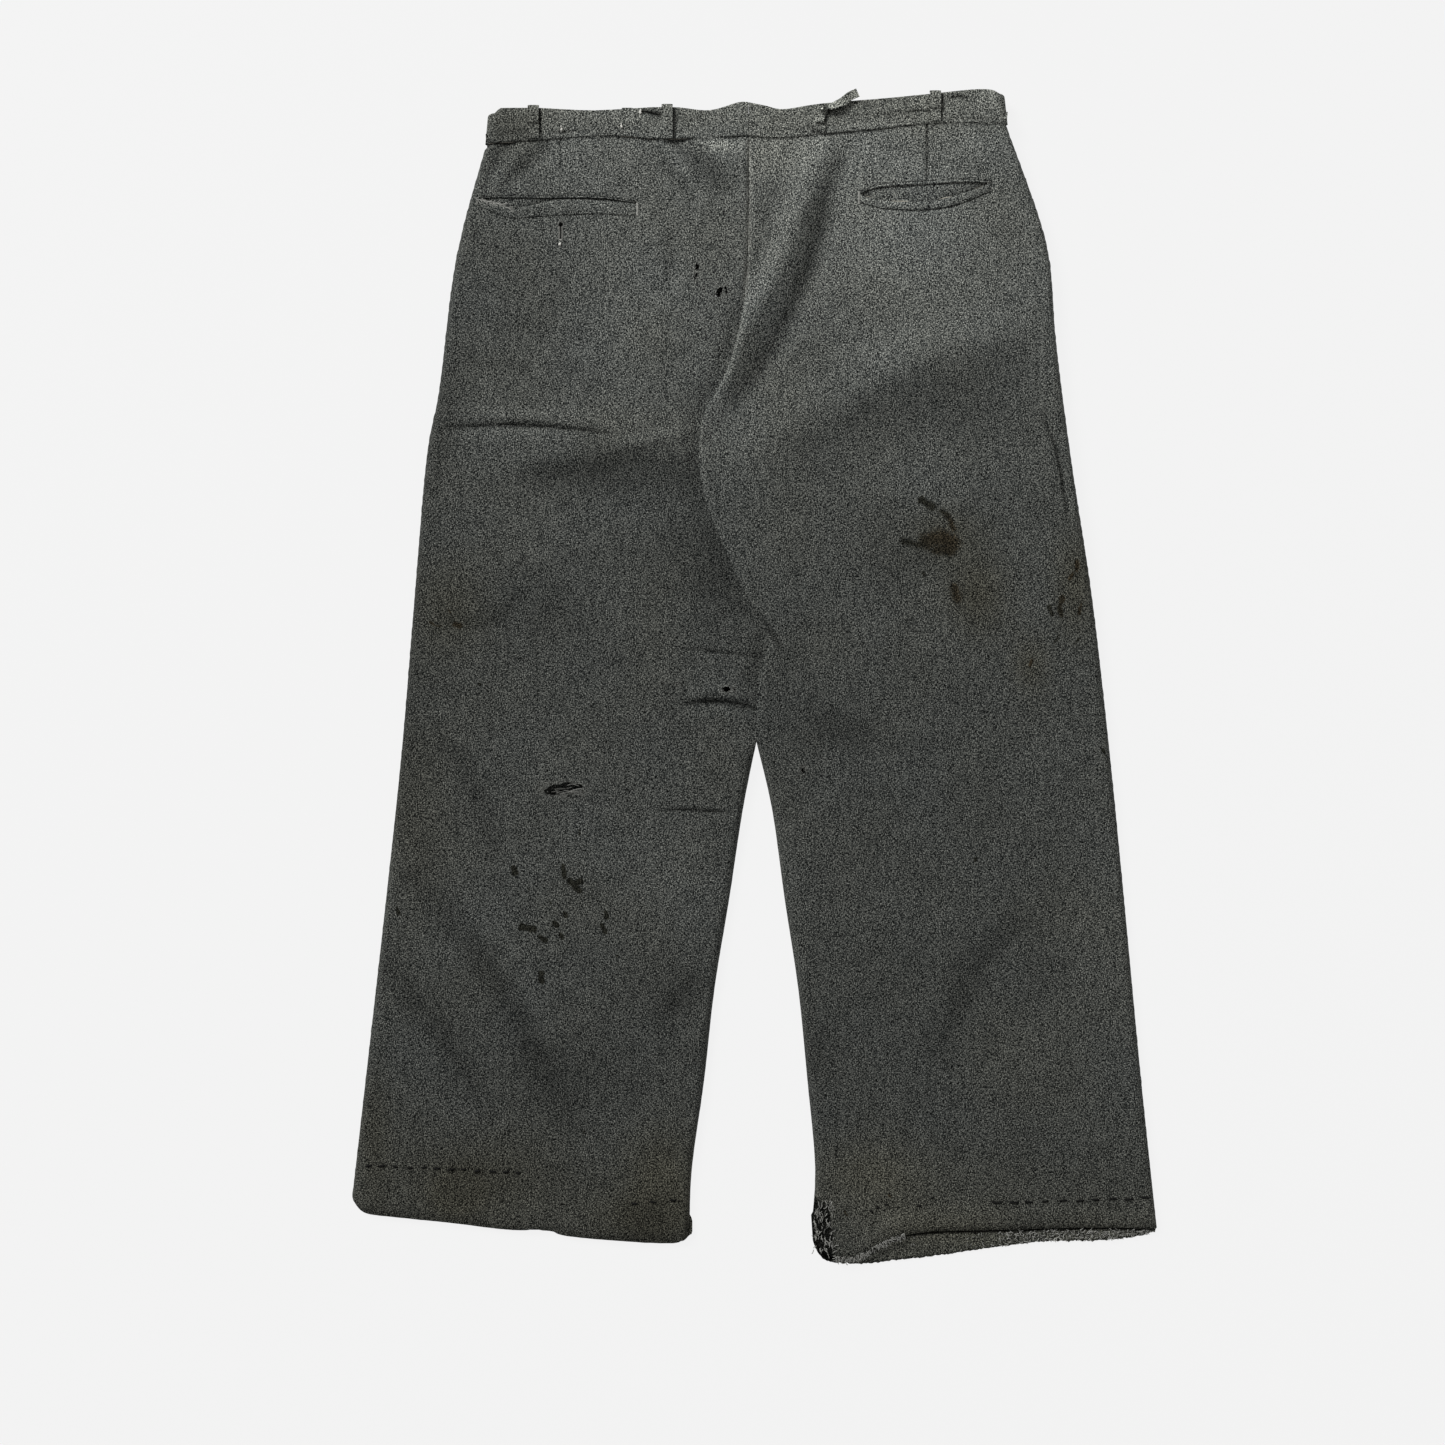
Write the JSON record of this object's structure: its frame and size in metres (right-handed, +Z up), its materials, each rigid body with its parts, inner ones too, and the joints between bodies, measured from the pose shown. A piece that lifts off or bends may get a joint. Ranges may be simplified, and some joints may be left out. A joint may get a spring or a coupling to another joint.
{
  "type": "work trousers",
  "caption": "Loose straight work trousers lying flat with the back up: welt back pockets, slanted front pockets, belt loops, button fly and legs that fold at the knee.",
  "frame": {"origin": "on the floor under the middle of the trousers' box", "axes": "+X to the right as they lie with the back up, +Y from the hems to the waistband, +Z up from the floor"},
  "size_m": [0.708, 1.0331, 0.024],
  "materials": {
    "grey_cloth": "marled salt-and-pepper cotton cloth, worn and faded",
    "pocketing": "plain cotton pocketing and lining",
    "pale_thread": "pale sewing thread",
    "dark_thread": "black hand-sewing thread",
    "button": "dark pressed button, satin"
  },
  "bodies": {
    "seat": {"left_back_panel": "grey_cloth", "right_back_panel": "grey_cloth", "left_front_panel": "grey_cloth", "right_front_panel": "grey_cloth", "left_outseam": "grey_cloth", "right_outseam": "grey_cloth", "left_inseam": "grey_cloth", "right_inseam": "grey_cloth", "seat_seam": "grey_cloth", "front_rise_seam": "grey_cloth", "left_waistband": "grey_cloth", "right_waistband": "grey_cloth", "left_waistband_lining": "pocketing", "right_waistband_lining": "pocketing", "back_left_outer_loop": "grey_cloth", "back_left_inner_loop": "grey_cloth", "back_right_outer_loop": "grey_cloth", "front_left_loop": "grey_cloth", "front_right_loop": "grey_cloth", "torn_loop_stub": "grey_cloth", "left_back_dart": "grey_cloth", "right_back_dart": "grey_cloth", "left_back_pocket_welt": "grey_cloth", "right_back_pocket_welt": "grey_cloth", "left_back_pocket_bag": "pocketing", "right_back_pocket_bag": "pocketing", "left_back_pocket_facing": "grey_cloth", "right_back_pocket_facing": "grey_cloth", "back_pocket_button": "button", "left_front_pocket_bag": "pocketing", "right_front_pocket_bag": "pocketing", "left_front_pocket_edge": "grey_cloth", "right_front_pocket_edge": "grey_cloth", "fly_shield": "grey_cloth", "fly_buttons": "button", "waist_button": "button", "pocket_bar_tacks": "pale_thread", "brace_button_threads": "pale_thread"},
    "left_leg": {"left_lower_back_panel": "grey_cloth", "left_lower_front_panel": "grey_cloth", "left_lower_outseam": "grey_cloth", "left_lower_inseam": "grey_cloth", "left_hem_facing": "grey_cloth", "left_hem_stitches": "dark_thread"},
    "right_leg": {"right_lower_back_panel": "grey_cloth", "right_lower_front_panel": "grey_cloth", "right_lower_outseam": "grey_cloth", "right_lower_inseam": "grey_cloth", "right_hem_facing": "grey_cloth", "right_hem_stitches": "dark_thread"},
    "fly_flap": {"fly_overlap": "grey_cloth", "waistband_tab": "grey_cloth", "fly_buttonhole_facing": "grey_cloth"},
    "torn_loop_strip": {"torn_loop": "grey_cloth"}
  },
  "joints": [
    {"name": "left_leg_fold", "type": "hinge", "parent": "seat", "child": "left_leg", "pos_m": [-0.172, -0.1905, 0.0145], "axis": [-1, 0, 0], "range_deg": [0, 170]},
    {"name": "right_leg_fold", "type": "hinge", "parent": "seat", "child": "right_leg", "pos_m": [0.176, -0.1905, 0.0145], "axis": [-1, 0, 0], "range_deg": [0, 170]},
    {"name": "fly_open", "type": "hinge", "parent": "seat", "child": "fly_flap", "pos_m": [-0.0383, 0.39, 0], "axis": [0, 1, 0], "range_deg": [0, 110]},
    {"name": "torn_loop_swing", "type": "hinge", "parent": "seat", "child": "torn_loop_strip", "pos_m": [0.057, 0.485, 0.02], "axis": [1, 0, 0], "range_deg": [0, 160]}
  ]
}
